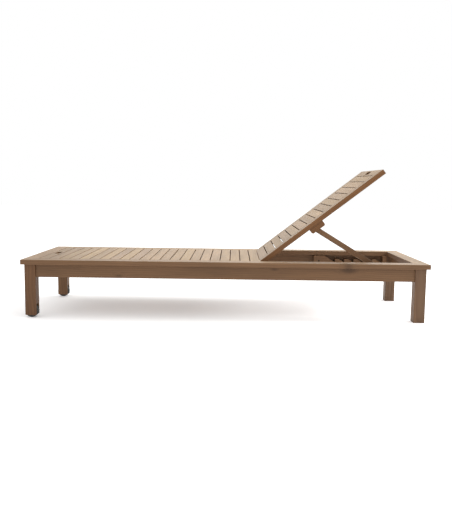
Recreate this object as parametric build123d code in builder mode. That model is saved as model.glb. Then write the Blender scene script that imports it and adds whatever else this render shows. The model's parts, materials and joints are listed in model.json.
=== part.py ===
"""Reclining sun lounger in teak: a slatted deck, a hinged backrest, a folding prop and two wheels.

+X points to the head end, +Z is up and Y = 0 is the centre line. The floor is Z = 0.
Left is the -Y side and right the +Y side, as seen by a person lying on the lounger.
"""
from build123d import *
import os
from math import cos, radians, sin

os.makedirs("parts", exist_ok=True)

# Overall sizes, in millimetres
length = 2000.0
width = 650.0
height = 290.0
board = 24.0                # thickness of the rails, slats and backrest stiles
edge_round = 2.0            # eased edge on every piece of timber

# Top frame, legs and aprons
rail_width = 70.0
rail_corner = 4.0
leg_size = 54.0
leg_inset_x = 16.0
leg_inset_y = 14.0
apron_height = 64.0
apron_thickness = 22.0
apron_setback = 8.0
tenon_length = 20.0
tenon_thickness = 10.0
tenon_shoulder = 10.0

# Slats
slat_gap = 4.0
deck_slat_count = 22        # the first one holds the foot-end grip
back_slat_count = 15        # the last one holds the head-end grip
slat_end_gap = 0.4
grip_length = 84.0
grip_width = 25.0
bearer_width = 40.0
cross_rail_width = 40.0
cross_rail_depth = 30.0
tongue_length = 8.0
tongue_thickness = 10.0
tongue_shoulder = 4.0

# Backrest and its hinge
hinge_x = 175.0
hinge_drop = 4.0            # hinge axis below the deck surface
back_angle = 37.7
stile_width = 62.0
side_gap = 4.0
knuckle_radius = 3.6
knuckle_room = 4.0
pin_radius = 2.0
running_clearance = 0.05
leaf = 1.6
leaf_width = 48.0
knuckle_length = 16.0
leaf_gap = 0.4
knuckle_clearance = 0.2
moving_leaf_lift = 0.5      # the moving leaf ends this far above the stile's underside
fixed_leaf_drop = 36.0      # the fixed leaf reaches this far below the hinge axis

# Prop
block_start = 290.0         # from the hinge axis, along the backrest
block_length = 78.0
block_depth = 27.0
block_width = 24.0
block_corner = 8.0
block_inset = 4.0
pivot_along = 318.7
pivot_drop = 33.7           # below the hinge axis, square to the backrest
pivot_radius = 4.0
arm_length = 390.0
arm_width = 24.0
arm_thickness = 18.0
arm_slope = 31.2            # below the horizontal, at the rest position
arm_gap = 2.0
rod_radius = 5.0
rod_half_length = 277.0
rod_end_round = 1.0
stretcher_along = 205.0
stretcher_width = 40.0
stretcher_thickness = 16.0
stretcher_tongue_width = 30.0
stretcher_tongue_thickness = 8.0

# Notched racks
rack_thickness = 28.0
rack_bottom = 206.0
rack_start = 508.0
rack_block_top = 263.0
tooth_top = 244.0
tooth_depth = 19.5
tooth_pitch = 53.5
tooth_flat = 21.5
first_tooth = 631.2
tooth_count = 5

# Wheels
wheel_radius = 32.0
wheel_width = 28.0
wheel_slot = 32.0
wheel_slot_top = 67.0
wheel_leg_bottom = 12.0
wheel_leg_round = 4.0       # worn lower edges of the two wheeled legs
hub_radius = 12.0
hub_width = 30.0
web_width = 14.0
web_outer = 22.0
tyre_round = 3.0
axle_radius = 4.0
axle_bite = 8.0             # how far the axle goes into the leg's outer wall
plug_radius = 6.0
plug_length = 4.0

# Places that follow from the sizes above
half_length = length / 2
half_width = width / 2
inner_x = half_length - rail_width
inner_y = half_width - rail_width
deck_under = height - board
leg_x = half_length - leg_inset_x - leg_size / 2
leg_y = half_width - leg_inset_y - leg_size / 2
leg_inner_x = leg_x - leg_size / 2
leg_inner_y = leg_y - leg_size / 2
apron_y = leg_y + leg_size / 2 - apron_setback - apron_thickness / 2
apron_x = leg_x + leg_size / 2 - apron_setback - apron_thickness / 2
apron_inner_y = apron_y - apron_thickness / 2
apron_bottom = deck_under - apron_height
wheel_x = -leg_x
hinge_z = height - hinge_drop
deck_end = hinge_x - slat_gap / 2
deck_start = -inner_x + slat_gap
back_half_width = inner_y - side_gap
stile_inner = back_half_width - stile_width
back_length = inner_x - slat_gap - hinge_x
back_start = slat_gap / 2
deck_slat = (deck_end - deck_start - (deck_slat_count - 1) * slat_gap) / deck_slat_count
back_slat = (back_length - back_start - (back_slat_count - 1) * slat_gap) / back_slat_count
hinge_y = back_half_width - stile_width / 2
block_outer = back_half_width - block_inset
block_inner = block_outer - block_width
arm_outer = block_inner - arm_gap
arm_inner = arm_outer - arm_thickness

# Reference planes. On a side plane X runs along the piece and Y square to it, in the vertical plane.
slope = radians(back_angle)
drop = radians(arm_slope)
along_back = Vector(cos(slope), 0, sin(slope))
square_back = Vector(-sin(slope), 0, cos(slope))
hinge_axis = Vector(hinge_x, 0, hinge_z)
pivot_axis = hinge_axis + along_back * pivot_along - square_back * pivot_drop
along_arm = Vector(cos(drop), 0, -sin(drop))
back_plane = Plane(origin=hinge_axis, x_dir=along_back, z_dir=square_back)
back_top = Axis(hinge_axis, square_back)


def side_plane(origin, direction, y):
    """Vertical plane facing -Y at the given Y, with its X along the direction."""
    return Plane(origin=(origin.X, y, origin.Z), x_dir=direction, z_dir=(0, -1, 0))


def save(piece, name):
    """Label one finished piece and write its STEP file."""
    piece.part.label = name
    export_step(piece.part, f"parts/{name}.step")


def save_pair(left, name):
    """Write the left-hand piece and its mirror image on the right."""
    with BuildPart() as right:
        mirror(left.part, about=Plane.XZ)
    save(left, f"left_{name}")
    save(right, f"right_{name}")


def save_both_sides(left, name):
    """Write the left-hand solids and their mirror images as one group."""
    with BuildPart() as group:
        add(left.part)
        mirror(left.part, about=Plane.XZ)
    save(group, name)


# ---------------------------------------------------------------- top frame
def mitred_rail(corners, along):
    """Flat rail with mitred ends, from its four corners."""
    with BuildPart() as rail:
        with BuildSketch(Plane.XY.offset(deck_under)):
            with BuildLine():
                Polyline(*corners, close=True)
            make_face()
        extrude(amount=board)
        fillet(rail.edges().filter_by(along), edge_round)
        with BuildSketch(Plane.XY.offset(deck_under)):
            RectangleRounded(length, width, rail_corner)
        extrude(amount=board, mode=Mode.INTERSECT)
    return rail


foot_left_corner = (-half_length, -half_width)
foot_right_corner = (-half_length, half_width)
head_left_corner = (half_length, -half_width)
side_corners = [foot_left_corner, head_left_corner, (inner_x, -inner_y), (-inner_x, -inner_y)]
end_corners = [foot_left_corner, (-inner_x, -inner_y), (-inner_x, inner_y), foot_right_corner]
save_pair(mitred_rail(side_corners, Axis.X), "side_rail")
foot_end_rail = mitred_rail(end_corners, Axis.Y)
with BuildPart() as head_end_rail:
    mirror(foot_end_rail.part, about=Plane.YZ)
save(foot_end_rail, "foot_end_rail")
save(head_end_rail, "head_end_rail")


# ---------------------------------------------------------------- legs and aprons
def leg(centre_x, bottom):
    """Square left-hand leg with mortises for the two aprons that meet it."""
    inward = -1 if centre_x > 0 else 1
    mortise_height = apron_height - 2 * tenon_shoulder
    with BuildPart() as post:
        with BuildSketch(Plane.XY.offset(bottom)):
            with Locations((centre_x, -leg_y)):
                Rectangle(leg_size, leg_size)
        extrude(amount=deck_under - bottom)
        fillet(post.edges().filter_by(Axis.Z), edge_round)
        with BuildSketch(Plane.XY.offset(apron_bottom + tenon_shoulder)):
            with Locations((centre_x + inward * (leg_size - tenon_length) / 2, -apron_y)):
                Rectangle(tenon_length, tenon_thickness)
            with Locations((-inward * apron_x, -leg_inner_y - tenon_length / 2)):
                Rectangle(tenon_thickness, tenon_length)
        extrude(amount=mortise_height, mode=Mode.SUBTRACT)
    return post


def apron(centre, size, tenoned_size):
    """Upright board between two legs, with a stub tenon at each end."""
    with BuildPart() as panel:
        with BuildSketch(Plane.XY.offset(apron_bottom)):
            with Locations(centre):
                Rectangle(*size)
        extrude(amount=apron_height)
        long_way = Axis.X if size[0] > size[1] else Axis.Y
        fillet(panel.edges().filter_by(long_way).group_by(Axis.Z)[0], edge_round)
        with BuildSketch(Plane.XY.offset(apron_bottom + tenon_shoulder)):
            with Locations(centre):
                Rectangle(*tenoned_size)
        extrude(amount=apron_height - 2 * tenon_shoulder)
    return panel


save_pair(leg(leg_x, 0), "head_leg")

# A foot leg is slotted for its wheel. The axle goes in from the inner face, under a plug.
slot_wall = (leg_size - wheel_slot) / 2
axle_length = slot_wall - plug_length + wheel_slot + axle_bite
plain_foot_leg = leg(wheel_x, wheel_leg_bottom)
with BuildPart() as wheel_leg:
    add(plain_foot_leg.part)
    fillet(wheel_leg.faces().sort_by(Axis.Z)[0].edges(), wheel_leg_round)
    with BuildSketch(Plane.YZ.offset(wheel_x)):
        with Locations((-leg_y, 0)):
            Rectangle(wheel_slot, 2 * wheel_slot_top)
    extrude(amount=leg_size / 2, both=True, mode=Mode.SUBTRACT)
    with BuildSketch(Plane.XZ.offset(leg_inner_y)):
        with Locations((wheel_x, wheel_radius)):
            Circle(plug_radius)
    extrude(amount=plug_length, mode=Mode.SUBTRACT)
    with BuildSketch(Plane.XZ.offset(leg_inner_y)):
        with Locations((wheel_x, wheel_radius)):
            Circle(axle_radius)
    extrude(amount=plug_length + axle_length, mode=Mode.SUBTRACT)
save_pair(wheel_leg, "foot_leg")

long_apron = 2 * leg_inner_x
short_apron = 2 * leg_inner_y
both_tenons = 2 * tenon_length
for name, x in (("foot_apron", -apron_x), ("head_apron", apron_x)):
    end_apron = apron((x, 0), (apron_thickness, short_apron), (tenon_thickness, short_apron + both_tenons))
    save(end_apron, name)

# ---------------------------------------------------------------- deck
slat_screw_inset = 7.0      # from the slat's end
slat_screw_y = inner_y - slat_screw_inset
slat_screw_head = 4.0
slat_screw_radius = 2.0
slat_screw_recess = 6.0
slat_screw_bite = 16.0
slat_screw_sink = 2.0       # the head lies this far inside its recess
screw_tip_room = 1.0
deck_centres = [deck_start + deck_slat / 2 + i * (deck_slat + slat_gap) for i in range(deck_slat_count)]
bearer_end = deck_end - cross_rail_width
screwed_centres = [x for x in deck_centres if x < bearer_end - slat_screw_head]


def deck_board(centre_x):
    """One deck slat with eased top edges and a screw hole at each end."""
    with BuildPart() as slat:
        with BuildSketch(Plane.XY.offset(deck_under)):
            with Locations((centre_x, 0)):
                Rectangle(deck_slat, 2 * (inner_y - slat_end_gap))
        extrude(amount=board)
        fillet(slat.faces().sort_by(Axis.Z)[-1].edges(), edge_round)
        if centre_x in screwed_centres:
            with BuildSketch(Plane.XY.offset(deck_under)):
                with Locations((centre_x, -slat_screw_y), (centre_x, slat_screw_y)):
                    Circle(slat_screw_radius)
            extrude(amount=slat_screw_bite, mode=Mode.SUBTRACT)
    return slat


first_slat = deck_board(deck_centres[0])
with BuildPart() as deck_grip_slat:
    add(first_slat.part)
    with BuildSketch(Plane.XY.offset(deck_under)):
        with Locations((deck_centres[0], 0)):
            SlotOverall(grip_length, grip_width, rotation=90)
    extrude(amount=board, mode=Mode.SUBTRACT)
    grip_rim = deck_grip_slat.faces().sort_by(Axis.Z)[-1].inner_wires().edges()
    fillet(grip_rim, edge_round)
save(deck_grip_slat, "deck_grip_slat")

for i in range(1, deck_slat_count - 1):
    save(deck_board(deck_centres[i]), f"deck_slat_{i:02d}")

# The last slat is cut back round the hinge knuckles.
plain_last_slat = deck_board(deck_centres[-1])
with BuildPart() as last_slat:
    add(plain_last_slat.part)
    with BuildSketch(Plane.XZ.offset(hinge_y - leaf_width / 2 - leaf_gap)):
        with Locations((hinge_x, hinge_z)):
            Circle(knuckle_room)
    extrude(amount=leaf_width + 2 * leaf_gap, mode=Mode.SUBTRACT)
    with BuildSketch(Plane.XZ.offset(-hinge_y - leaf_width / 2 - leaf_gap)):
        with Locations((hinge_x, hinge_z)):
            Circle(knuckle_room)
    extrude(amount=leaf_width + 2 * leaf_gap, mode=Mode.SUBTRACT)
save(last_slat, f"deck_slat_{deck_slat_count - 1:02d}")

bearer_y = apron_inner_y - bearer_width / 2
with BuildPart() as slat_bearer:
    with BuildSketch(Plane.XY.offset(deck_under - board)):
        with Locations(((bearer_end - leg_inner_x) / 2, -bearer_y)):
            Rectangle(bearer_end + leg_inner_x, bearer_width)
    extrude(amount=board)
    with BuildSketch(Plane.XY.offset(deck_under - board)):
        with Locations(*[(x, -slat_screw_y) for x in screwed_centres]):
            Circle(slat_screw_radius)
    extrude(amount=board, mode=Mode.SUBTRACT)
    with BuildSketch(Plane.XY.offset(deck_under - board)):
        with Locations(*[(x, -slat_screw_y) for x in screwed_centres]):
            Circle(slat_screw_head)
    extrude(amount=slat_screw_recess, mode=Mode.SUBTRACT)
save_pair(slat_bearer, "slat_bearer")

# Two blocks that the stiles lie on when the backrest is flat
rest_block_length = 24.0
rest_block_width = 37.0
rest_block_height = 42.0
rest_block_x = 916.0
rest_block_drop = 0.3
with BuildPart() as rest_block:
    with BuildSketch(Plane.XY.offset(deck_under - rest_block_drop - rest_block_height)):
        with Locations((rest_block_x, -apron_inner_y + rest_block_width / 2)):
            Rectangle(rest_block_length, rest_block_width)
    extrude(amount=rest_block_height)
    fillet(rest_block.faces().sort_by(Axis.Z)[-1].edges(), edge_round)
save_both_sides(rest_block, "backrest_rest_blocks")

# ---------------------------------------------------------------- racks
tooth_foot = tooth_top - tooth_depth
tooth_slope = tooth_depth / (tooth_pitch - tooth_flat)
block_end = first_tooth - (rack_block_top - tooth_foot) / tooth_slope
rack_end = first_tooth + tooth_count * tooth_pitch
rack_outline = [(rack_start, rack_bottom), (rack_start, rack_block_top), (block_end, rack_block_top)]
for i in range(tooth_count):
    tooth = first_tooth + i * tooth_pitch
    rack_outline += [(tooth, tooth_foot), (tooth, tooth_top), (tooth + tooth_flat, tooth_top)]
rack_outline += [(rack_end, tooth_foot), (rack_end, rack_bottom)]
rack_inner_y = apron_inner_y - rack_thickness
rack_screw_spots = [(538.0, 232.0), (750.0, 216.0), (884.0, 216.0)]     # X and Z
rack_screw_radius = 2.5
rack_screw_head = 5.0
rack_screw_head_depth = 3.0
rack_screw_length = 42.0

with BuildPart() as rack:
    with BuildSketch(Plane.XZ.offset(rack_inner_y)):
        with BuildLine():
            Polyline(*rack_outline, close=True)
        make_face()
    extrude(amount=rack_thickness)
    with BuildSketch(Plane.XZ.offset(rack_inner_y)):
        with Locations(*rack_screw_spots):
            Circle(rack_screw_radius)
    extrude(amount=rack_thickness, mode=Mode.SUBTRACT)
    with BuildSketch(Plane.XZ.offset(rack_inner_y)):
        with Locations(*rack_screw_spots):
            Circle(rack_screw_head)
    extrude(amount=rack_screw_head_depth, mode=Mode.SUBTRACT)
save_pair(rack, "rack")

# Side aprons, with the rack screws' pilot holes
plain_side_apron = apron(
    (0, -apron_y), (long_apron, apron_thickness), (long_apron + both_tenons, tenon_thickness)
)
with BuildPart() as side_apron:
    add(plain_side_apron.part)
    with BuildSketch(Plane.XZ.offset(rack_inner_y)):
        with Locations(*rack_screw_spots):
            Circle(rack_screw_radius)
    extrude(amount=rack_screw_length, mode=Mode.SUBTRACT)
save_pair(side_apron, "side_apron")


# ---------------------------------------------------------------- hinges
def hinge_leaf(plane, start, end, top, bottom, knuckles, bore):
    """Leaf of a butt hinge: a plate hung below the pin, and the knuckles that go round the pin.

    The plate lies between start and end, from bottom up to the pin. It is cut back to top
    beside the other leaf's knuckles. The knuckles are pairs of distances from the hinge's middle.
    """
    with BuildPart() as part:
        with BuildSketch(plane.offset(-leaf_width / 2)):
            with Locations(((start + end) / 2, (top + bottom) / 2)):
                Rectangle(end - start, top - bottom)
        extrude(amount=leaf_width)
        for low, high in knuckles:
            with BuildSketch(plane.offset(low)):
                Circle(knuckle_radius)
                with Locations(((start + end) / 2, bottom / 2)):
                    Rectangle(end - start, -bottom)
            extrude(amount=high - low)
            with BuildSketch(plane.offset(low)):
                Circle(bore)
            extrude(amount=high - low, mode=Mode.SUBTRACT)
    return part


knuckle_cut = -knuckle_room
knuckle_joint = knuckle_length / 2
fixed_plane = side_plane(hinge_axis, Vector(1, 0, 0), -hinge_y)
moving_plane = side_plane(hinge_axis, along_back, -hinge_y)
fixed_end = knuckle_joint + knuckle_clearance
moving_end = knuckle_joint - knuckle_clearance
fixed_knuckles = [(-leaf_width / 2, -fixed_end), (fixed_end, leaf_width / 2)]
moving_knuckles = [(-moving_end, moving_end)]
moving_bottom = hinge_drop - board + moving_leaf_lift
moving_bore = pin_radius + running_clearance
fixed_leaf = hinge_leaf(
    fixed_plane, -back_start, -leaf_gap, knuckle_cut, -fixed_leaf_drop, fixed_knuckles, pin_radius
)
moving_leaf = hinge_leaf(
    moving_plane, leaf_gap, back_start, knuckle_cut, moving_bottom, moving_knuckles, moving_bore
)
leaf_screw_radius = 1.5
leaf_screw_length = 20.0
fixed_screw_spots = [(-16.0, -26.0), (16.0, -26.0)]         # along the pin, and below it
moving_screw_spots = [(-16.0, -12.0), (16.0, -12.0)]


def leaf_screw_plane(plane, outward, spot):
    """Plane on a leaf's free face at one screw, facing away from the timber."""
    across, down = spot
    face = plane.from_local_coords((outward * leaf_gap, down, across))
    return Plane(origin=face, z_dir=plane.x_dir * -outward)


def leaf_screw(plane):
    """Countersunk screw, flush with the leaf's free face and driven the other way."""
    with BuildPart() as screw:
        with BuildSketch(plane):
            Circle(leaf_screw_radius + leaf)
        with BuildSketch(plane.offset(-leaf)):
            Circle(leaf_screw_radius)
        loft()
        with BuildSketch(plane.offset(-leaf)):
            Circle(leaf_screw_radius)
        extrude(amount=-leaf_screw_length)
    return screw


fixed_leaf_screws = [leaf_screw(leaf_screw_plane(fixed_plane, -1, spot)) for spot in fixed_screw_spots]
moving_leaf_screws = [leaf_screw(leaf_screw_plane(moving_plane, 1, spot)) for spot in moving_screw_spots]
with BuildPart() as drilled_fixed_leaf:
    add(fixed_leaf.part)
    for screw in fixed_leaf_screws:
        add(screw.part, mode=Mode.SUBTRACT)
with BuildPart() as drilled_moving_leaf:
    add(moving_leaf.part)
    for screw in moving_leaf_screws:
        add(screw.part, mode=Mode.SUBTRACT)
save_both_sides(drilled_fixed_leaf, "hinge_fixed_leaves")
save_both_sides(drilled_moving_leaf, "hinge_moving_leaves")

with BuildPart() as hinge_pin:
    with BuildSketch(fixed_plane.offset(-leaf_width / 2)):
        Circle(pin_radius)
    extrude(amount=leaf_width)
save_both_sides(hinge_pin, "hinge_pins")

with BuildPart() as moving_screws:
    for screw in moving_leaf_screws:
        add(screw.part)
save_both_sides(moving_screws, "hinge_moving_screws")

# Cross rail that carries the last slat and the fixed hinge leaves
with BuildPart() as hinge_cross_rail:
    with BuildSketch(Plane.XY.offset(deck_under - cross_rail_depth)):
        with Locations(((bearer_end + deck_end) / 2, 0)):
            Rectangle(cross_rail_width, 2 * apron_inner_y)
    extrude(amount=cross_rail_depth)
    fillet(hinge_cross_rail.edges().filter_by(Axis.Y).group_by(Axis.Z)[0], edge_round)
    for screw in fixed_leaf_screws:
        add(screw.part, mode=Mode.SUBTRACT)
        mirror(screw.part, about=Plane.XZ, mode=Mode.SUBTRACT)
save(hinge_cross_rail, "hinge_cross_rail")

# Screws of the base: deck slats, racks and the fixed hinge leaves
slat_screw_bottom = deck_under - board + slat_screw_sink
slat_screw_tip = deck_under + slat_screw_bite - screw_tip_room
with BuildPart() as frame_screws:
    with BuildSketch(Plane.XY.offset(slat_screw_bottom)):
        with Locations(*[(x, -slat_screw_y) for x in screwed_centres]):
            Circle(slat_screw_head)
    extrude(amount=slat_screw_recess - slat_screw_sink)
    with BuildSketch(Plane.XY.offset(slat_screw_bottom)):
        with Locations(*[(x, -slat_screw_y) for x in screwed_centres]):
            Circle(slat_screw_radius)
    extrude(amount=slat_screw_tip - slat_screw_bottom)
    with BuildSketch(Plane.XZ.offset(rack_inner_y)):
        with Locations(*rack_screw_spots):
            Circle(rack_screw_head)
    extrude(amount=rack_screw_head_depth)
    with BuildSketch(Plane.XZ.offset(rack_inner_y)):
        with Locations(*rack_screw_spots):
            Circle(rack_screw_radius)
    extrude(amount=rack_screw_length)
    for screw in fixed_leaf_screws:
        add(screw.part)
save_both_sides(frame_screws, "frame_screws")

# ---------------------------------------------------------------- backrest
back_under = hinge_drop - board
tongue_low = back_under + (board - tongue_thickness) / 2
back_centres = [back_start + back_slat / 2 + i * (back_slat + slat_gap) for i in range(back_slat_count)]
tongue_width = back_slat - 2 * tongue_shoulder

with BuildPart() as backrest_stile:
    with BuildSketch(back_plane.offset(back_under)):
        with Locations(((back_start + back_length) / 2, -hinge_y)):
            Rectangle(back_length - back_start, stile_width)
    extrude(amount=board)
    fillet(backrest_stile.faces().sort_by(back_top)[-1].edges(), edge_round)
    with BuildSketch(back_plane.offset(tongue_low)):
        with Locations(*[(s, -stile_inner - tongue_length / 2) for s in back_centres]):
            Rectangle(tongue_width, tongue_length)
    extrude(amount=tongue_thickness, mode=Mode.SUBTRACT)
    with BuildSketch(moving_plane.offset(-leaf_width / 2 - leaf_gap)):
        Circle(knuckle_room)
    extrude(amount=leaf_width + 2 * leaf_gap, mode=Mode.SUBTRACT)
    for screw in moving_leaf_screws:
        add(screw.part, mode=Mode.SUBTRACT)
save_pair(backrest_stile, "backrest_stile")


def back_board(centre):
    """One backrest slat with eased top edges and a tongue at each end."""
    with BuildPart() as slat:
        with BuildSketch(back_plane.offset(back_under)):
            with Locations((centre, 0)):
                Rectangle(back_slat, 2 * stile_inner)
        extrude(amount=board)
        fillet(slat.faces().sort_by(back_top)[-1].edges(), edge_round)
        with BuildSketch(back_plane.offset(tongue_low)):
            with Locations((centre, 0)):
                Rectangle(tongue_width, 2 * (stile_inner + tongue_length))
        extrude(amount=tongue_thickness)
    return slat


last_back_board = back_board(back_centres[-1])
with BuildPart() as backrest_grip_board:
    add(last_back_board.part)
    with BuildSketch(back_plane.offset(back_under)):
        with Locations((back_centres[-1], 0)):
            SlotOverall(grip_length, grip_width, rotation=90)
    extrude(amount=board, mode=Mode.SUBTRACT)
    grip_rim = backrest_grip_board.faces().sort_by(back_top)[-1].inner_wires().edges()
    fillet(grip_rim, edge_round)
save(backrest_grip_board, "backrest_grip_board")

with BuildPart() as backrest_slats:
    for centre in back_centres[:-1]:
        add(back_board(centre).part)
save(backrest_slats, "backrest_slats")

# ---------------------------------------------------------------- prop
pin_bite = 18.0
with BuildPart() as pivot_block:
    with BuildSketch(side_plane(hinge_axis, along_back, -block_inner)):
        with Locations((block_start + block_length / 2, back_under - block_depth / 2)):
            Rectangle(block_length, block_depth)
    extrude(amount=block_width)
    free_edges = pivot_block.edges().filter_by(Axis.Y).sort_by(back_top)[:2]
    fillet(free_edges, block_corner)
    with BuildSketch(side_plane(pivot_axis, along_back, -block_inner)):
        Circle(pivot_radius)
    extrude(amount=pin_bite, mode=Mode.SUBTRACT)
save_pair(pivot_block, "pivot_block")

with BuildPart() as prop_arm:
    with BuildSketch(side_plane(pivot_axis, along_arm, -arm_inner)):
        with Locations((arm_length / 2, 0)):
            SlotCenterToCenter(arm_length, arm_width)
    extrude(amount=arm_thickness)
    fillet(prop_arm.faces().filter_by(Plane.XZ).edges(), edge_round)
    with BuildSketch(side_plane(pivot_axis, along_arm, -arm_inner)):
        Circle(pivot_radius + running_clearance)
        with Locations((arm_length, 0)):
            Circle(rod_radius)
    extrude(amount=arm_thickness, mode=Mode.SUBTRACT)
    with BuildSketch(side_plane(pivot_axis, along_arm, -arm_inner)):
        with Locations((stretcher_along, 0)):
            Rectangle(stretcher_tongue_width, stretcher_tongue_thickness)
    extrude(amount=tongue_length, mode=Mode.SUBTRACT)
save_pair(prop_arm, "prop_arm")

with BuildPart() as prop_stretcher:
    with BuildSketch(side_plane(pivot_axis, along_arm, arm_inner)):
        with Locations((stretcher_along, 0)):
            RectangleRounded(stretcher_width, stretcher_thickness, edge_round)
    extrude(amount=2 * arm_inner)
    with BuildSketch(side_plane(pivot_axis, along_arm, arm_inner + tongue_length)):
        with Locations((stretcher_along, 0)):
            Rectangle(stretcher_tongue_width, stretcher_tongue_thickness)
    extrude(amount=2 * (arm_inner + tongue_length))
save(prop_stretcher, "prop_stretcher")

with BuildPart() as prop_foot_rod:
    with BuildSketch(side_plane(pivot_axis, along_arm, rod_half_length)):
        with Locations((arm_length, 0)):
            Circle(rod_radius)
    extrude(amount=2 * rod_half_length)
    fillet(prop_foot_rod.edges(), rod_end_round)
save(prop_foot_rod, "prop_foot_rod")

# Pivot pins with a low head inside each arm, and a washer between the arm and the block
pin_head_radius = 7.5
pin_head = 3.0
pin_head_gap = 0.4
washer = 1.4
pin_head_round = 1.0
with BuildPart() as pivot_pin:
    with BuildSketch(side_plane(pivot_axis, along_arm, -arm_inner + pin_head_gap)):
        Circle(pivot_radius)
    extrude(amount=block_inner + pin_bite - arm_inner + pin_head_gap)
    with BuildSketch(side_plane(pivot_axis, along_arm, -arm_inner + pin_head_gap)):
        Circle(pin_head_radius)
    extrude(amount=-pin_head)
    fillet(pivot_pin.edges().sort_by(Axis.Y)[-1], pin_head_round)
with BuildPart() as pivot_washer:
    with BuildSketch(side_plane(pivot_axis, along_arm, -block_inner + washer)):
        Circle(pin_head_radius)
        Circle(pivot_radius + running_clearance, mode=Mode.SUBTRACT)
    extrude(amount=washer)
with BuildPart() as prop_pivot_pins:
    add(pivot_pin.part)
    add(pivot_washer.part)
save_both_sides(prop_pivot_pins, "prop_pivot_pins")

# ---------------------------------------------------------------- wheels
with BuildPart() as wheel:
    with BuildSketch(Plane.XZ.offset(leg_y - wheel_width / 2)):
        with Locations((wheel_x, wheel_radius)):
            Circle(wheel_radius)
            Circle(web_outer, mode=Mode.SUBTRACT)
    extrude(amount=wheel_width)
    fillet(wheel.edges().filter_by(GeomType.CIRCLE).sort_by(SortBy.RADIUS)[-2:], tyre_round)
    with BuildSketch(Plane.XZ.offset(leg_y - web_width / 2)):
        with Locations((wheel_x, wheel_radius)):
            Circle(web_outer)
    extrude(amount=web_width)
    with BuildSketch(Plane.XZ.offset(leg_y - hub_width / 2)):
        with Locations((wheel_x, wheel_radius)):
            Circle(hub_radius)
    extrude(amount=hub_width)
    with BuildSketch(Plane.XZ.offset(leg_y - hub_width / 2)):
        with Locations((wheel_x, wheel_radius)):
            Circle(axle_radius + running_clearance)
    extrude(amount=hub_width, mode=Mode.SUBTRACT)
save_pair(wheel, "wheel")

with BuildPart() as wheel_axle:
    with BuildSketch(Plane.XZ.offset(leg_inner_y + plug_length)):
        with Locations((wheel_x, wheel_radius)):
            Circle(axle_radius)
    extrude(amount=axle_length)
save_both_sides(wheel_axle, "wheel_axles")

with BuildPart() as axle_plug:
    with BuildSketch(Plane.XZ.offset(leg_inner_y)):
        with Locations((wheel_x, wheel_radius)):
            Circle(plug_radius)
    extrude(amount=plug_length)
save_both_sides(axle_plug, "axle_plugs")
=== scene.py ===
import json
import math

import bpy
import numpy as np
from mathutils import Matrix, Vector


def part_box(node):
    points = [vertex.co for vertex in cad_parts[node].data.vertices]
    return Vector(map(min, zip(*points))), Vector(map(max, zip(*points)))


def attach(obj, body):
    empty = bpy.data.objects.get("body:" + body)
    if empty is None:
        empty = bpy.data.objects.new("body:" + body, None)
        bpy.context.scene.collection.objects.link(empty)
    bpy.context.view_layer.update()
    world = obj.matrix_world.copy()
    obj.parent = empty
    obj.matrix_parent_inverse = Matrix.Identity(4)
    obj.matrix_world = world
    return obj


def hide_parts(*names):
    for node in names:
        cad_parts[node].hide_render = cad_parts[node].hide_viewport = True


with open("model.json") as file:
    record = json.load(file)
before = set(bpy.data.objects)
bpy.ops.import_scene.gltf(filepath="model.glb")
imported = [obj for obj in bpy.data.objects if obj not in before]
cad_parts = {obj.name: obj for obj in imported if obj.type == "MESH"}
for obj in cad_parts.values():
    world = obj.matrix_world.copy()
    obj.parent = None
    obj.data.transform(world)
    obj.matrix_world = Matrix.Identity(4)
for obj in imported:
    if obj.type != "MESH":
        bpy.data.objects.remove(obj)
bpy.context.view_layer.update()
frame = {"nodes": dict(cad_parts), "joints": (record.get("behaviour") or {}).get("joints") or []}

MM = 0.001
JOINTS = {joint["name"]: joint for joint in frame["joints"]}
UP = Vector((0, 0, 1))
LONG = Vector((1, 0, 0))
ACROSS = Vector((0, 1, 0))


def middle(node_name):
    """Centre of a CAD node's box."""
    low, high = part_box(node_name)
    return (low + high) / 2


# ---------------------------------------------------------------- places worked out from the frame
hinge = Vector(JOINTS["backrest_recline"]["pos_m"])
pivot = Vector(JOINTS["prop_swing"]["pos_m"])
foot_rod = middle("prop_foot_rod")
grip_board = middle("backrest_grip_board")
slope_dir = Vector((grip_board.x - hinge.x, 0, grip_board.z - hinge.z)).normalized()
arm_dir = Vector((foot_rod.x - pivot.x, 0, foot_rod.z - pivot.z)).normalized()
deck_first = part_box("deck_grip_slat")
deck_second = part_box("deck_slat_01")
deck_pitch = deck_second[0].x - deck_first[0].x
deck_start = deck_first[0].x
deck_gap = deck_second[0].x - deck_first[1].x
floor_z = 0.0


# ---------------------------------------------------------------- node helpers
def linear(hex_code):
    """Turn an sRGB hex colour into the linear RGBA that shaders read."""
    parts = [int(hex_code[i:i + 2], 16) / 255 for i in (1, 3, 5)]
    return [v / 12.92 if v <= 0.04045 else ((v + 0.055) / 1.055) ** 2.4 for v in parts] + [1.0]


def add_node(tree, kind, inputs=None, **settings):
    """Add a node, set its settings, and give each named input a value or a link."""
    made = tree.nodes.new(kind)
    for name, value in settings.items():
        setattr(made, name, value)
    for socket, value in (inputs or {}).items():
        if isinstance(value, bpy.types.NodeSocket):
            tree.links.new(value, made.inputs[socket])
        else:
            made.inputs[socket].default_value = value
    return made


def set_ramp(ramp_node, stops):
    """Fill a colour ramp with (position, colour) stops."""
    ramp = ramp_node.color_ramp
    while len(ramp.elements) > 1:
        ramp.elements.remove(ramp.elements[-1])
    ramp.elements[0].position, ramp.elements[0].color = stops[0]
    for position, colour in stops[1:]:
        ramp.elements.new(position).color = colour


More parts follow.
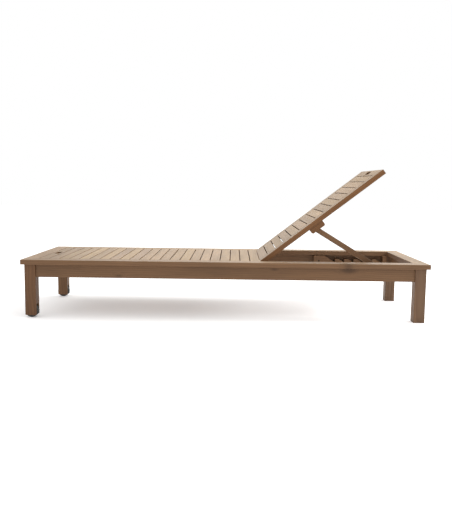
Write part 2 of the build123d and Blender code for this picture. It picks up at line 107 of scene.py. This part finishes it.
# ---------------------------------------------------------------- teak
RING_WIDTH = 7 * MM            # real rings are 3 to 5 mm: drawn wider so that they show
FIBRE_WIDTH = 2.5 * MM
FIBRE_LENGTH = 120 * MM
PORE_WIDTH = 0.7 * MM
PORE_LENGTH = 9 * MM
FIGURE_WIDTH = 50 * MM
FIGURE_LENGTH = 420 * MM
STREAK_WIDTH = 12 * MM
STREAK_LENGTH = 400 * MM
RING_BEND = 30 * MM            # how far the rings wander sideways along a board


def grain_scale(width, length):
    """Scale of a noise whose cells are this wide and, along the grain (local Y), this long."""
    return (1 / width, 1 / length, 1 / width)


def make_teak_grain():
    """Shared grain: growth rings round a pith below the board, fibres, pores and mineral streaks.

    The vector is in metres with Y along the grain. Board is a number that differs from board to
    board: it moves the pith and the noise, and changes the tone. Oiled is the brown of a kept
    surface, and the pale output the silvery tan of an upper face: partly wood that the sun has
    dried, partly painted light from above and painted sheen.
    """
    group = bpy.data.node_groups.new("teak_grain", "ShaderNodeTree")
    for name, kind, way in (
        ("Vector", "NodeSocketVector", "INPUT"),
        ("Board", "NodeSocketFloat", "INPUT"),
        ("Oiled", "NodeSocketColor", "OUTPUT"),
        ("BleachedAndLit", "NodeSocketColor", "OUTPUT"),
        ("Roughness", "NodeSocketFloat", "OUTPUT"),
        ("Height", "NodeSocketFloat", "OUTPUT"),
    ):
        group.interface.new_socket(name, in_out=way, socket_type=kind)
    start = add_node(group, "NodeGroupInput")
    vector, board = start.outputs["Vector"], start.outputs["Board"]
    luck = add_node(group, "ShaderNodeTexWhiteNoise", {"W": board}, noise_dimensions="1D")
    shift = add_node(group, "ShaderNodeVectorMath", {
        0: luck.outputs["Color"], 1: (0.24, 9.0, 0.12), 2: (-0.12, 0.0, 0.06)}, operation="MULTIPLY_ADD")
    placed = add_node(group, "ShaderNodeVectorMath", {0: vector, 1: shift.outputs[0]}, operation="ADD")

    # The trunk isn't straight: a slow noise bends the rings.
    slow_place = add_node(group, "ShaderNodeVectorMath", {
        0: placed.outputs[0], 1: grain_scale(FIGURE_WIDTH * 4, FIGURE_LENGTH)}, operation="MULTIPLY")
    slow = add_node(group, "ShaderNodeTexNoise", {
        "Vector": slow_place.outputs[0], "Scale": 1.0, "Detail": 2.0, "Roughness": 0.4})
    bend = add_node(group, "ShaderNodeVectorMath", {
        0: slow.outputs["Color"], 1: (RING_BEND, 0.0, RING_BEND), 2: placed.outputs[0]},
        operation="MULTIPLY_ADD")
    flat = add_node(group, "ShaderNodeVectorMath", {0: bend.outputs[0], 1: (1, 0, 1)}, operation="MULTIPLY")
    radius = add_node(group, "ShaderNodeVectorMath", {0: flat.outputs[0]}, operation="LENGTH")
    ring = add_node(group, "ShaderNodeMath", {
        0: radius.outputs["Value"], 1: 1 / RING_WIDTH}, operation="MULTIPLY")
    ring_part = add_node(group, "ShaderNodeMath", {0: ring.outputs[0]}, operation="FRACT")
    ring_tone = add_node(group, "ShaderNodeValToRGB", {"Fac": ring_part.outputs[0]})
    set_ramp(ring_tone, [(0.0, linear("#74553A")), (0.40, linear("#715339")), (0.75, linear("#6B4E35")),
                         (0.94, linear("#644831")), (1.0, linear("#725439"))])
    ring_grey = add_node(group, "ShaderNodeMapRange", {
        "Value": ring_part.outputs[0], "From Min": 0.5, "From Max": 0.94, "To Min": 1.03, "To Max": 0.93})

    # Long soft figure and narrow mineral streaks
    figure_place = add_node(group, "ShaderNodeVectorMath", {
        0: bend.outputs[0], 1: grain_scale(FIGURE_WIDTH, FIGURE_LENGTH)}, operation="MULTIPLY")
    figure = add_node(group, "ShaderNodeTexNoise", {
        "Vector": figure_place.outputs[0], "Scale": 1.0, "Detail": 3.0, "Roughness": 0.55})
    figure_tone = add_node(group, "ShaderNodeMapRange", {
        "Value": figure.outputs["Fac"], "From Min": 0.3, "From Max": 0.7, "To Min": 0.84, "To Max": 1.13})
    streak_place = add_node(group, "ShaderNodeVectorMath", {
        0: bend.outputs[0], 1: grain_scale(STREAK_WIDTH, STREAK_LENGTH)}, operation="MULTIPLY")
    streak = add_node(group, "ShaderNodeTexNoise", {
        "Vector": streak_place.outputs[0], "Scale": 1.0, "Detail": 4.0, "Roughness": 0.6})
    streak_share = add_node(group, "ShaderNodeMapRange", {
        "Value": streak.outputs["Fac"], "From Min": 0.58, "From Max": 0.76, "To Min": 0.0, "To Max": 0.35})

    # Fibres and pores, which also roughen the surface
    fibre_place = add_node(group, "ShaderNodeVectorMath", {
        0: placed.outputs[0], 1: grain_scale(FIBRE_WIDTH, FIBRE_LENGTH)}, operation="MULTIPLY")
    fibre = add_node(group, "ShaderNodeTexNoise", {
        "Vector": fibre_place.outputs[0], "Scale": 1.0, "Detail": 3.0, "Roughness": 0.6})
    fibre_tone = add_node(group, "ShaderNodeMapRange", {
        "Value": fibre.outputs["Fac"], "From Min": 0.25, "From Max": 0.75, "To Min": 0.91, "To Max": 1.09})
    pore_place = add_node(group, "ShaderNodeVectorMath", {
        0: placed.outputs[0], 1: grain_scale(PORE_WIDTH, PORE_LENGTH)}, operation="MULTIPLY")
    pore = add_node(group, "ShaderNodeTexNoise", {
        "Vector": pore_place.outputs[0], "Scale": 1.0, "Detail": 1.0, "Roughness": 0.5})
    pore_share = add_node(group, "ShaderNodeMapRange", {
        "Value": pore.outputs["Fac"], "From Min": 0.60, "From Max": 0.74, "To Min": 0.0, "To Max": 0.16})

    # Every board is cut from another place, so each has its own tone and a little more or less red.
    parted = add_node(group, "ShaderNodeSeparateColor", {"Color": luck.outputs["Color"]})
    board_tone = add_node(group, "ShaderNodeMapRange", {
        "Value": parted.outputs["Blue"], "To Min": 0.85, "To Max": 1.13})
    warmth = add_node(group, "ShaderNodeMix", {
        "Factor": parted.outputs["Red"], "A": linear("#F5EDF0"), "B": linear("#FFF7EA")}, data_type="RGBA")
    grain_tone = add_node(group, "ShaderNodeMath", {
        0: figure_tone.outputs[0], 1: fibre_tone.outputs[0]}, operation="MULTIPLY")
    tone = add_node(group, "ShaderNodeMath", {
        0: grain_tone.outputs[0], 1: board_tone.outputs[0]}, operation="MULTIPLY")
    streaked = add_node(group, "ShaderNodeMix", {
        "Factor": streak_share.outputs[0], "A": ring_tone.outputs["Color"], "B": linear("#4E3622")},
        data_type="RGBA")
    oiled_toned = add_node(group, "ShaderNodeVectorMath", {
        0: streaked.outputs["Result"], "Scale": tone.outputs[0]}, operation="SCALE")
    oiled = add_node(group, "ShaderNodeMix", {
        "Factor": pore_share.outputs[0], "A": oiled_toned.outputs[0], "B": linear("#402C1C")},
        data_type="RGBA")
    # The pale upper-face colour: partly sun-dried teak, partly painted light from above and painted sheen.
    warm_bleach_and_light = add_node(group, "ShaderNodeMix", {
        "Factor": 1.0, "A": linear("#9A866A"), "B": warmth.outputs["Result"]},
        data_type="RGBA", blend_type="MULTIPLY")
    bleach_and_light_tone = add_node(group, "ShaderNodeMath", {
        0: tone.outputs[0], 1: ring_grey.outputs[0]}, operation="MULTIPLY")
    bleach_and_light_toned = add_node(group, "ShaderNodeVectorMath", {
        0: warm_bleach_and_light.outputs["Result"], "Scale": bleach_and_light_tone.outputs[0]}, operation="SCALE")
    bleach_and_light_streaked = add_node(group, "ShaderNodeMix", {
        "Factor": streak_share.outputs[0], "A": bleach_and_light_toned.outputs[0], "B": linear("#80664C")},
        data_type="RGBA")
    bleached_and_lit = add_node(group, "ShaderNodeMix", {
        "Factor": pore_share.outputs[0], "A": bleach_and_light_streaked.outputs["Result"], "B": linear("#6B5541")},
        data_type="RGBA")
    rough = add_node(group, "ShaderNodeMapRange", {
        "Value": fibre.outputs["Fac"], "From Min": 0.3, "From Max": 0.7, "To Min": 0.50, "To Max": 0.58})
    hollow = add_node(group, "ShaderNodeMath", {
        0: fibre.outputs["Fac"], 1: pore_share.outputs[0]}, operation="SUBTRACT")
    add_node(group, "NodeGroupOutput", {
        "Oiled": oiled.outputs["Result"], "BleachedAndLit": bleached_and_lit.outputs["Result"],
        "Roughness": rough.outputs[0], "Height": hollow.outputs[0]})
    return group


teak_grain = make_teak_grain()


def facing(tree, normal, direction, begin, full):
    """How far a surface faces the direction: 0 below the first cosine, 1 above the second."""
    cosine = add_node(tree, "ShaderNodeVectorMath", {0: normal, 1: Vector(direction)}, operation="DOT_PRODUCT")
    return add_node(tree, "ShaderNodeMapRange", {
        "Value": cosine.outputs["Value"], "From Min": begin, "From Max": full},
        interpolation_type="SMOOTHSTEP").outputs[0]


def teak(name, along, across, centre, seed, row=None, sun=UP, bleach_and_light=1.0, tone=1.0, tint="#FFFFFF", knots=()):
    """Planed and sanded teak: straight brown grain, turned to a pale tan where it faces the sun, partly dried by the
    sun and partly painted light from above and painted sheen.

    Along is the grain's direction and across the direction over the board's face. A row is the
    start and pitch of boards laid side by side, and each of them gets its own grain. A knot is a
    place along and across the board and a size: the grain runs round it and it is darker.
    """
    material = bpy.data.materials.new(name)
    material.use_nodes = True
    tree = material.node_tree
    tree.nodes.clear()
    along, across = Vector(along), Vector(across)
    turn = Matrix((across, along, across.cross(along)))
    place = add_node(tree, "ShaderNodeTexCoord")
    local = add_node(tree, "ShaderNodeMapping", {
        "Vector": place.outputs["Object"], "Location": -(turn @ Vector(centre)), "Rotation": turn.to_euler("XYZ")})
    vector, board = local.outputs[0], float(seed)
    if row:
        start, pitch = row
        parts = add_node(tree, "ShaderNodeSeparateXYZ", {0: vector})
        count = add_node(tree, "ShaderNodeMath", {0: parts.outputs["X"], 1: start}, operation="SUBTRACT")
        cell = add_node(tree, "ShaderNodeMath", {0: count.outputs[0], 1: pitch}, operation="DIVIDE")
        whole = add_node(tree, "ShaderNodeMath", {0: cell.outputs[0]}, operation="FLOOR")
        part = add_node(tree, "ShaderNodeMath", {0: cell.outputs[0]}, operation="FRACT")
        centred = add_node(tree, "ShaderNodeMath", {
            0: part.outputs[0], 1: pitch, 2: -pitch / 2}, operation="MULTIPLY_ADD")
        cell_place = add_node(tree, "ShaderNodeCombineXYZ", {
            "X": centred.outputs[0], "Y": parts.outputs["Y"], "Z": parts.outputs["Z"]})
        number = add_node(tree, "ShaderNodeMath", {0: whole.outputs[0], 1: float(seed)}, operation="ADD")
        vector, board = cell_place.outputs[0], number.outputs[0]
    shade = None
    for knot_along, knot_across, size in knots:
        away = add_node(tree, "ShaderNodeVectorMath", {
            0: vector, 1: (knot_across, knot_along, 0)}, operation="SUBTRACT")
        squeezed = add_node(tree, "ShaderNodeVectorMath", {
            0: away.outputs[0], 1: (1 / size, 0.4 / size, 0)}, operation="MULTIPLY")
        distance = add_node(tree, "ShaderNodeVectorMath", {0: squeezed.outputs[0]}, operation="LENGTH")
        near = add_node(tree, "ShaderNodeMapRange", {
            "Value": distance.outputs["Value"], "From Min": 1.6, "From Max": 0.0},
            interpolation_type="SMOOTHSTEP")
        push = add_node(tree, "ShaderNodeMath", {0: near.outputs[0], 1: size * 1.6}, operation="MULTIPLY")
        pushed = add_node(tree, "ShaderNodeCombineXYZ", {"X": push.outputs[0], "Z": push.outputs[0]})
        vector = add_node(tree, "ShaderNodeVectorMath", {0: vector, 1: pushed.outputs[0]}).outputs[0]
        dark = add_node(tree, "ShaderNodeMapRange", {
            "Value": distance.outputs["Value"], "From Min": 0.9, "From Max": 0.1, "To Min": 1.0, "To Max": 0.62},
            interpolation_type="SMOOTHSTEP").outputs[0]
        shade = dark if shade is None else add_node(
            tree, "ShaderNodeMath", {0: shade, 1: dark}, operation="MULTIPLY").outputs[0]
    grain = add_node(tree, "ShaderNodeGroup", {"Vector": vector, "Board": board}, node_tree=teak_grain)

    # The upper face turns pale: partly sun-dried wood, partly painted light from above and painted sheen. End grain
    # drinks oil and stays dark.
    upper_face_bleach_and_light = facing(tree, place.outputs["Normal"], sun, 0.25, 0.85)
    bleach_and_light_share = add_node(tree, "ShaderNodeMath", {0: upper_face_bleach_and_light, 1: bleach_and_light}, operation="MULTIPLY")
    tinted = add_node(tree, "ShaderNodeVectorMath", {
        0: grain.outputs["Oiled"], 1: [tone * v for v in linear(tint)[:3]]}, operation="MULTIPLY")
    bleached_and_lit_mix = add_node(tree, "ShaderNodeMix", {
        "Factor": bleach_and_light_share.outputs[0], "A": tinted.outputs[0], "B": grain.outputs["BleachedAndLit"]},
        data_type="RGBA")
    end_cosine = add_node(tree, "ShaderNodeVectorMath", {
        0: place.outputs["Normal"], 1: along}, operation="DOT_PRODUCT")
    end_size = add_node(tree, "ShaderNodeMath", {0: end_cosine.outputs["Value"]}, operation="ABSOLUTE")
    end_shade = add_node(tree, "ShaderNodeMapRange", {
        "Value": end_size.outputs[0], "From Min": 0.6, "From Max": 0.95, "To Min": 1.0, "To Max": 0.78})
    if shade is not None:
        end_shade = add_node(tree, "ShaderNodeMath", {0: end_shade.outputs[0], 1: shade}, operation="MULTIPLY")
    colour = add_node(tree, "ShaderNodeVectorMath", {
        0: bleached_and_lit_mix.outputs["Result"], "Scale": end_shade.outputs[0]}, operation="SCALE")
    bump = add_node(tree, "ShaderNodeBump", {
        "Strength": 0.1, "Distance": 0.1 * MM, "Height": grain.outputs["Height"]})
    surface = add_node(tree, "ShaderNodeBsdfPrincipled", {
        "Base Color": colour.outputs[0], "Roughness": grain.outputs["Roughness"], "IOR": 1.5,
        "Specular IOR Level": 0.25, "Normal": bump.outputs[0]})
    add_node(tree, "ShaderNodeOutputMaterial", {"Surface": surface.outputs[0]})
    return material


def finish_node(node_name, material):
    """Give a CAD node its finished material."""
    data = frame["nodes"][node_name].data
    data.materials.clear()
    data.materials.append(material)


# ---------------------------------------------------------------- metals and rubber
def brass(name):
    """Rolled brass gone dull outdoors: yellow-brown, with soft cloudy patches."""
    material = bpy.data.materials.new(name)
    material.use_nodes = True
    tree = material.node_tree
    tree.nodes.clear()
    place = add_node(tree, "ShaderNodeTexCoord")
    cloud = add_node(tree, "ShaderNodeTexNoise", {
        "Vector": place.outputs["Object"], "Scale": 1 / (12 * MM), "Detail": 4.0})
    tint = add_node(tree, "ShaderNodeValToRGB", {"Fac": cloud.outputs["Fac"]})
    set_ramp(tint, [(0.35, linear("#8A6A3A")), (0.65, linear("#C29B5B"))])
    rough = add_node(tree, "ShaderNodeMapRange", {"Value": cloud.outputs["Fac"], "To Min": 0.28, "To Max": 0.55})
    surface = add_node(tree, "ShaderNodeBsdfPrincipled", {
        "Base Color": tint.outputs["Color"], "Metallic": 1.0, "Roughness": rough.outputs[0]})
    add_node(tree, "ShaderNodeOutputMaterial", {"Surface": surface.outputs[0]})
    return material


def drawn_steel(name, along, dark="#9D9C98", light="#C4C3BF", smooth=0.22):
    """Drawn steel: grey, with fine draw lines along it that stretch the highlight."""
    material = bpy.data.materials.new(name)
    material.use_nodes = True
    tree = material.node_tree
    tree.nodes.clear()
    place = add_node(tree, "ShaderNodeTexCoord")
    stretch = [1 / (0.4 * MM) if axis != along else 1 / (40 * MM) for axis in "XYZ"]
    lines_place = add_node(tree, "ShaderNodeVectorMath", {
        0: place.outputs["Object"], 1: stretch}, operation="MULTIPLY")
    lines = add_node(tree, "ShaderNodeTexNoise", {"Vector": lines_place.outputs[0], "Scale": 1.0, "Detail": 2.0})
    tint = add_node(tree, "ShaderNodeValToRGB", {"Fac": lines.outputs["Fac"]})
    set_ramp(tint, [(0.3, linear(dark)), (0.7, linear(light))])
    rough = add_node(tree, "ShaderNodeMapRange", {"Value": lines.outputs["Fac"], "To Min": smooth, "To Max": smooth + 0.2})
    bump = add_node(tree, "ShaderNodeBump", {"Strength": 0.2, "Distance": 0.05 * MM, "Height": lines.outputs["Fac"]})
    surface = add_node(tree, "ShaderNodeBsdfPrincipled", {
        "Base Color": tint.outputs["Color"], "Metallic": 1.0, "Roughness": rough.outputs[0],
        "Normal": bump.outputs[0]})
    add_node(tree, "ShaderNodeOutputMaterial", {"Surface": surface.outputs[0]})
    return material


def moulded_rubber(name, dark, light, grit):
    """Moulded rubber or nylon: matt, finely pitted by the mould, dusty where the pits are."""
    material = bpy.data.materials.new(name)
    material.use_nodes = True
    tree = material.node_tree
    tree.nodes.clear()
    place = add_node(tree, "ShaderNodeTexCoord")
    dust = add_node(tree, "ShaderNodeTexNoise", {
        "Vector": place.outputs["Object"], "Scale": 1 / (9 * MM), "Detail": 5.0, "Roughness": 0.6})
    pits = add_node(tree, "ShaderNodeTexNoise", {"Vector": place.outputs["Object"], "Scale": 1 / grit, "Detail": 2.0})
    tint = add_node(tree, "ShaderNodeValToRGB", {"Fac": dust.outputs["Fac"]})
    set_ramp(tint, [(0.35, linear(dark)), (0.7, linear(light))])
    rough = add_node(tree, "ShaderNodeMapRange", {"Value": dust.outputs["Fac"], "To Min": 0.55, "To Max": 0.85})
    bump = add_node(tree, "ShaderNodeBump", {"Strength": 0.3, "Distance": 0.15 * MM, "Height": pits.outputs["Fac"]})
    surface = add_node(tree, "ShaderNodeBsdfPrincipled", {
        "Base Color": tint.outputs["Color"], "Roughness": rough.outputs[0], "IOR": 1.5, "Normal": bump.outputs[0]})
    add_node(tree, "ShaderNodeOutputMaterial", {"Surface": surface.outputs[0]})
    return material


# ---------------------------------------------------------------- finishes on the CAD pieces
deck_row = (deck_start - deck_gap / 2, deck_pitch)
deck_teak = teak("teak_deck", ACROSS, LONG, (0, 0, middle("deck_slat_01").z), 11, row=deck_row)
for name in frame["nodes"]:
    if name.startswith("deck_"):
        finish_node(name, deck_teak)

# The backrest has 15 boards, and the last one's middle is 14.5 pitches from the hinge.
back_sun = Vector((-slope_dir.z, 0, slope_dir.x))
back_pitch = slope_dir.dot(grip_board - hinge) / 14.5
back_teak = teak("teak_backrest", ACROSS, slope_dir, hinge, 41, row=(0.0, back_pitch), sun=back_sun)
for name in ("backrest_slats", "backrest_grip_board"):
    finish_node(name, back_teak)

LESS_YELLOW_TINT = "#E9F0FF"             # a tint with less yellow
# A slightly warmer tint; with tone 0.66 it draws the near foot leg darker.
WARMER_TINT = "#FFF5EB"
HONEY = "#FFEDD0"
apron_knots = [(0.607, 0.022, 0.024), (0.244, 0.022, 0.014), (-0.52, -0.02, 0.012)]
# The pale upper face that each piece's settings scale is partly sun-dried wood and partly painted light from above
# and painted sheen; the parts under the deck get little or none of it.
timber = [
    # node, grain direction, direction across the face, settings
    ("left_side_rail", LONG, ACROSS, {"bleach_and_light": 0.8, "tone": 1.05, "knots": [(0.60, -0.030, 0.016)]}),
    ("right_side_rail", LONG, ACROSS, {"bleach_and_light": 0.8}),
    ("foot_end_rail", ACROSS, LONG, {"bleach_and_light": 0.9}),
    ("head_end_rail", ACROSS, LONG, {"bleach_and_light": 0.95}),
    ("left_side_apron", LONG, UP, {"knots": apron_knots}),
    ("right_side_apron", LONG, UP, {}),
    ("foot_apron", ACROSS, UP, {}),
    ("head_apron", ACROSS, UP, {}),
    ("left_head_leg", UP, LONG, {"tone": 1.12, "tint": LESS_YELLOW_TINT}),
    ("right_head_leg", UP, LONG, {"tone": 1.0, "tint": LESS_YELLOW_TINT}),
    ("left_foot_leg", UP, LONG, {"tone": 0.66, "tint": WARMER_TINT}),
    ("right_foot_leg", UP, LONG, {"tone": 1.1}),
    ("left_slat_bearer", LONG, ACROSS, {"bleach_and_light": 0.0}),
    ("right_slat_bearer", LONG, ACROSS, {"bleach_and_light": 0.0}),
    ("hinge_cross_rail", ACROSS, LONG, {"bleach_and_light": 0.0}),
    ("backrest_rest_blocks", UP, LONG, {"bleach_and_light": 0.1}),
    ("left_rack", LONG, UP, {"bleach_and_light": 0.1}),
    ("right_rack", LONG, UP, {"bleach_and_light": 0.1}),
    ("left_backrest_stile", slope_dir, ACROSS, {"sun": back_sun, "tone": 1.15, "tint": HONEY}),
    ("right_backrest_stile", slope_dir, ACROSS, {"sun": back_sun}),
    # Painted shade: the near pivot block is drawn darker and warmer for the shade on its face.
    ("left_pivot_block", slope_dir, ACROSS, {"bleach_and_light": 0.0, "tone": 0.78, "tint": HONEY}),
    ("right_pivot_block", slope_dir, ACROSS, {"bleach_and_light": 0.0, "tone": 0.95}),
    # Painted shade: the prop arms are drawn darker for the shade the backrest casts on them.
    ("left_prop_arm", arm_dir, ACROSS, {"bleach_and_light": 0.3, "tone": 0.85}),
    ("right_prop_arm", arm_dir, ACROSS, {"bleach_and_light": 0.3, "tone": 0.85}),
    ("prop_stretcher", ACROSS, arm_dir, {"bleach_and_light": 0.3, "tone": 0.85}),
    ("axle_plugs", ACROSS, LONG, {}),
]
for number, (name, along, across, settings) in enumerate(timber):
    finish_node(name, teak("teak_" + name, along, across, middle(name), 101 + number, **settings))

hinge_brass = brass("brass_hinges")
for name in ("hinge_fixed_leaves", "hinge_moving_leaves", "hinge_pins", "hinge_moving_screws"):
    finish_node(name, hinge_brass)
rod_steel = drawn_steel("stainless_drawn_bar", "Y")
for name in ("prop_foot_rod", "prop_pivot_pins", "wheel_axles"):
    finish_node(name, rod_steel)
finish_node("frame_screws", drawn_steel("browned_screw_steel", "Z", "#2B2825", "#4A443C", smooth=0.4))
tyre_rubber = moulded_rubber("moulded_rubber_tyre", "#22211F", "#4A4843", 0.6 * MM)
hub_nylon = moulded_rubber("moulded_nylon_hub", "#4B4A47", "#6E6C67", 0.9 * MM)
for name in ("left_wheel", "right_wheel"):
    finish_node(name, tyre_rubber)


# ---------------------------------------------------------------- wheels
def soft_outline(corners, steps=5):
    """Closed outline from (radius, y, rounding) corners in millimetres, in metres.

    Each corner becomes a curve from the point a rounding before it to the point a rounding
    after it: (1-t)^2 of the first, 2t(1-t) of the corner and t^2 of the last.
    """
    spots = np.array([corner[:2] for corner in corners], float)
    rounding = np.array([corner[2] for corner in corners], float)[:, None]
    back = np.roll(spots, 1, axis=0) - spots
    ahead = np.roll(spots, -1, axis=0) - spots
    first = spots + back / np.linalg.norm(back, axis=1)[:, None] * rounding
    last = spots + ahead / np.linalg.norm(ahead, axis=1)[:, None] * rounding
    t = np.linspace(0, 1, steps)[None, :, None]
    curve = (1 - t) ** 2 * first[:, None] + 2 * t * (1 - t) * spots[:, None] + t ** 2 * last[:, None]
    return curve.reshape(-1, 2) * MM


def grid_faces(rows, columns):
    """Four-sided faces of a grid that closes on itself both ways."""
    row, column = np.meshgrid(np.arange(rows), np.arange(columns), indexing="ij")
    next_row, next_column = (row + 1) % rows, (column + 1) % columns
    corners = (row * columns + column, row * columns + next_column,
               next_row * columns + next_column, next_row * columns + column)
    return np.stack(corners, axis=-1).reshape(-1, 4)


def add_piece(name, points, faces, material, crease=35):
    """Make a mesh piece in its place, smooth apart from edges sharper than the crease."""
    mesh = bpy.data.meshes.new(name)
    mesh.from_pydata(points.tolist(), [], faces.tolist())
    mesh.materials.append(material)
    mesh.shade_smooth()
    mesh.set_sharp_from_angle(angle=math.radians(crease))
    piece = bpy.data.objects.new(name, mesh)
    bpy.context.scene.collection.objects.link(piece)
    return piece


def turned(name, corners, centre, material, turns=96):
    """Ring turned about the axle: x = r cos a, z = r sin a, y along the axle, for each outline point."""
    outline = soft_outline(corners)
    angle = np.linspace(0, 2 * math.pi, turns, endpoint=False)[:, None]
    points = np.stack([outline[:, 0] * np.cos(angle), outline[:, 1] + 0 * angle,
                       outline[:, 0] * np.sin(angle)], axis=-1).reshape(-1, 3) + np.array(centre)
    return add_piece(name, points, grid_faces(turns, len(outline)), material)


# Corners are radius, place along the axle and rounding, in millimetres. Two shallow grooves
# run round the tread.
tyre_corners = [
    (21.8, -14, 0.8), (32, -14, 3.2), (32, -5.8, 0.3), (30.9, -5.4, 0.3), (30.9, -4.4, 0.3),
    (32, -4.0, 0.3), (32, 4.0, 0.3), (30.9, 4.4, 0.3), (30.9, 5.4, 0.3), (32, 5.8, 0.3),
    (32, 14, 3.2), (21.8, 14, 0.8)]
hub_corners = [
    (4.05, -15, 0.5), (12, -15, 1.2), (12, -7, 1.5), (22.3, -7, 0.2),
    (22.3, 7, 0.2), (12, 7, 1.5), (12, 15, 1.2), (4.05, 15, 0.5)]
for side in ("left", "right"):
    node_name = f"{side}_wheel"
    centre = Vector(JOINTS[f"{side}_wheel_spin"]["pos_m"])
    for piece in (turned(f"{side}_tyre", tyre_corners, centre, tyre_rubber),
                  turned(f"{side}_wheel_hub", hub_corners, centre, hub_nylon)):
        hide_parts(node_name)
        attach(piece, node_name)



# ---------------------------------------------------------------- floor, light and camera
def softbox(name, place, target, size, power):
    """Square soft light aimed at a point."""
    light = bpy.data.lights.new(name, "AREA")
    light.shape = "RECTANGLE"
    light.size, light.size_y = size
    light.energy = power
    lamp = bpy.data.objects.new(name, light)
    lamp.location = place
    lamp.rotation_euler = (Vector(target) - Vector(place)).to_track_quat("-Z", "Y").to_euler()
    bpy.context.scene.collection.objects.link(lamp)
    return lamp


floor_half = 14.0
floor_mesh = bpy.data.meshes.new("floor")
floor_mesh.from_pydata(
    [(-floor_half, -floor_half, floor_z), (floor_half, -floor_half, floor_z),
     (floor_half, floor_half, floor_z), (-floor_half, floor_half, floor_z)], [], [(0, 1, 2, 3)])
floor = bpy.data.objects.new("floor", floor_mesh)
bpy.context.scene.collection.objects.link(floor)
# The floor paper glows a little, as if lit from below: painted light that lightens the shadow under the lounger and
# adds some light from below.
paper = bpy.data.materials.new("glowing_studio_paper")
paper.use_nodes = True
paper.node_tree.nodes.clear()
paper_surface = add_node(paper.node_tree, "ShaderNodeBsdfPrincipled", {
    "Base Color": linear("#FFFFFF"), "Roughness": 0.9, "Specular IOR Level": 0.0,
    "Emission Color": linear("#FFFFFF"), "Emission Strength": 0.22})
add_node(paper.node_tree, "ShaderNodeOutputMaterial", {"Surface": paper_surface.outputs[0]})
floor_mesh.materials.append(paper)

world = bpy.data.worlds.new("studio")
bpy.context.scene.world = world
world.use_nodes = True
world.node_tree.nodes["Background"].inputs["Color"].default_value = (1, 1, 1, 1)
world.node_tree.nodes["Background"].inputs["Strength"].default_value = 1.0
bpy.context.scene.view_settings.view_transform = "Standard"

softbox("softbox_above", (1.6, 0.4, 2.6), (0.4, 0, 0.2), (2.6, 2.4), 72)
softbox("softbox_behind", (0.6, 3.0, 0.9), (0, 0, 0.1), (5.0, 1.4), 25)

camera_data = bpy.data.cameras.new("camera")
camera_data.lens = 43.36
camera_data.sensor_width = 36.0
camera = bpy.data.objects.new("camera", camera_data)
bpy.context.scene.collection.objects.link(camera)
camera_place = Vector((0.0375, -3.2544, 0.6661))
turn_left, look_down, tilt = (math.radians(v) for v in (0.630, 6.382, 0.669))
camera.matrix_world = (
    Matrix.Translation(camera_place)
    @ Matrix.Rotation(turn_left, 4, "Z")
    @ Matrix.Rotation(math.pi / 2 - look_down, 4, "X")
    @ Matrix.Rotation(tilt, 4, "Z")
)
bpy.context.scene.camera = camera
